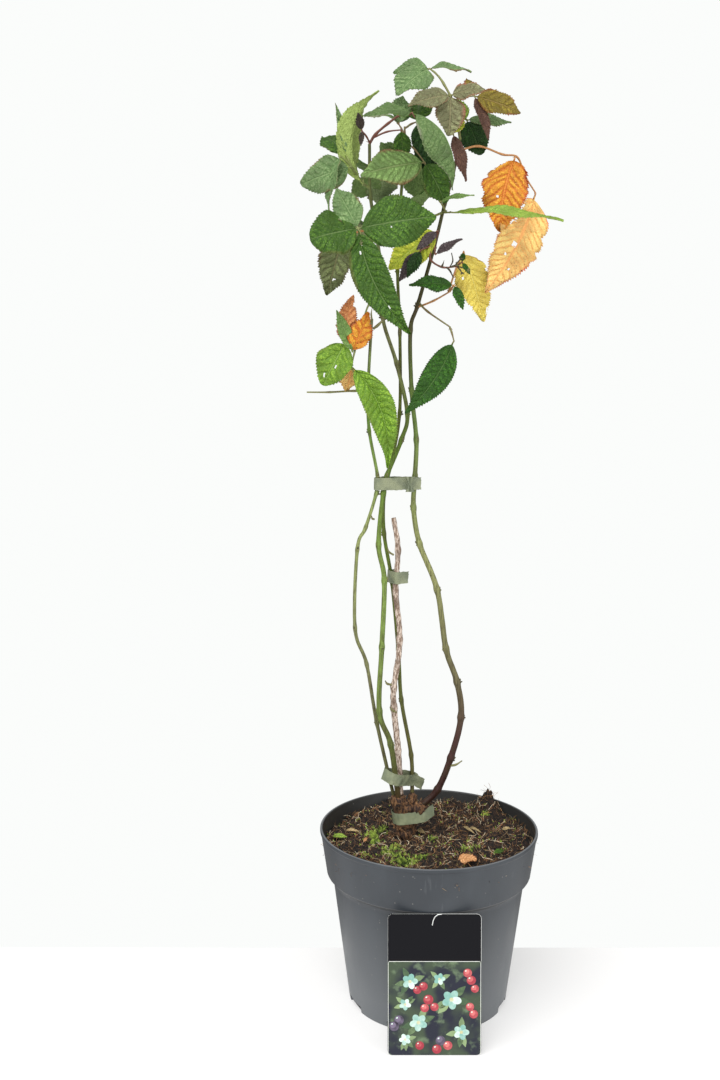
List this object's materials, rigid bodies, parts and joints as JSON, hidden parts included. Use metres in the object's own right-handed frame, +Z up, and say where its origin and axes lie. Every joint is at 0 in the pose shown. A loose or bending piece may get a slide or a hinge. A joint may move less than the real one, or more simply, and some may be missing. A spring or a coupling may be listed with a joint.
{
  "type": "potted bramble plant",
  "caption": "Young thornless bramble with tied canes and autumn-tinted leaves, in a round nursery pot of soil with an unlettered plant card leaning on it.",
  "frame": {"origin": "middle of the pot's flat underside, on the surface it stands on", "axes": "+Z up along the pot's axis; the front, where the plant card leans, faces -Y; +X is to the right as seen from the front"},
  "size_m": [0.2138, 0.1986, 0.8137],
  "materials": {
    "bare_stalk": "smooth leaf stalk",
    "label": "printed plastic card, satin",
    "leaves_arch": "thin leaf, satin above",
    "leaves_back_high": "thin leaf, satin above",
    "leaves_back_low": "thin leaf, satin above",
    "leaves_centre": "thin leaf, satin above",
    "leaves_inner": "thin leaf, satin above",
    "leaves_left": "thin leaf, satin above",
    "leaves_long": "thin leaf, satin above",
    "leaves_low_left": "thin leaf, satin above",
    "leaves_low_right": "thin leaf, satin above",
    "leaves_orange": "thin leaf, satin above",
    "leaves_top": "thin leaf, satin above",
    "leaves_yellow": "thin leaf, satin above",
    "leaves_young": "thin leaf, satin above",
    "old_stub": "dry, flaking bark with a pale cut top",
    "pot": "moulded charcoal plastic, slightly chalky",
    "root_crown": "rough bark",
    "soil": "dark, crumbly peat and bark compost",
    "stem_back_1": "smooth living bark",
    "stem_back_2": "smooth living bark",
    "stem_back_3": "smooth living bark",
    "stem_green_1": "smooth living bark",
    "stem_green_2": "smooth living bark",
    "stem_green_3": "smooth living bark",
    "stem_green_4": "smooth living bark",
    "stem_left_1": "smooth living bark",
    "stem_left_2": "smooth living bark",
    "stem_left_3": "smooth living bark",
    "stem_right_1": "smooth living bark",
    "stem_right_2": "smooth living bark",
    "stem_right_3": "smooth living bark",
    "stem_right_4": "smooth living bark",
    "tie_foot": "thin translucent tape",
    "tie_low": "thin translucent tape",
    "tie_middle": "thin translucent tape",
    "tie_top": "thin translucent tape"
  },
  "bodies": {
    "root": {"bare_stalk": "bare_stalk", "label": "label", "leaves_arch": "leaves_arch", "leaves_back_high": "leaves_back_high", "leaves_back_low": "leaves_back_low", "leaves_centre": "leaves_centre", "leaves_inner": "leaves_inner", "leaves_left": "leaves_left", "leaves_long": "leaves_long", "leaves_low_left": "leaves_low_left", "leaves_low_right": "leaves_low_right", "leaves_orange": "leaves_orange", "leaves_top": "leaves_top", "leaves_yellow": "leaves_yellow", "leaves_young": "leaves_young", "old_stub": "old_stub", "pot": "pot", "root_crown": "root_crown", "soil": "soil", "stem_back_1": "stem_back_1", "stem_back_2": "stem_back_2", "stem_back_3": "stem_back_3", "stem_green_1": "stem_green_1", "stem_green_2": "stem_green_2", "stem_green_3": "stem_green_3", "stem_green_4": "stem_green_4", "stem_left_1": "stem_left_1", "stem_left_2": "stem_left_2", "stem_left_3": "stem_left_3", "stem_right_1": "stem_right_1", "stem_right_2": "stem_right_2", "stem_right_3": "stem_right_3", "stem_right_4": "stem_right_4", "tie_foot": "tie_foot", "tie_low": "tie_low", "tie_middle": "tie_middle", "tie_top": "tie_top"}
  },
  "joints": []
}
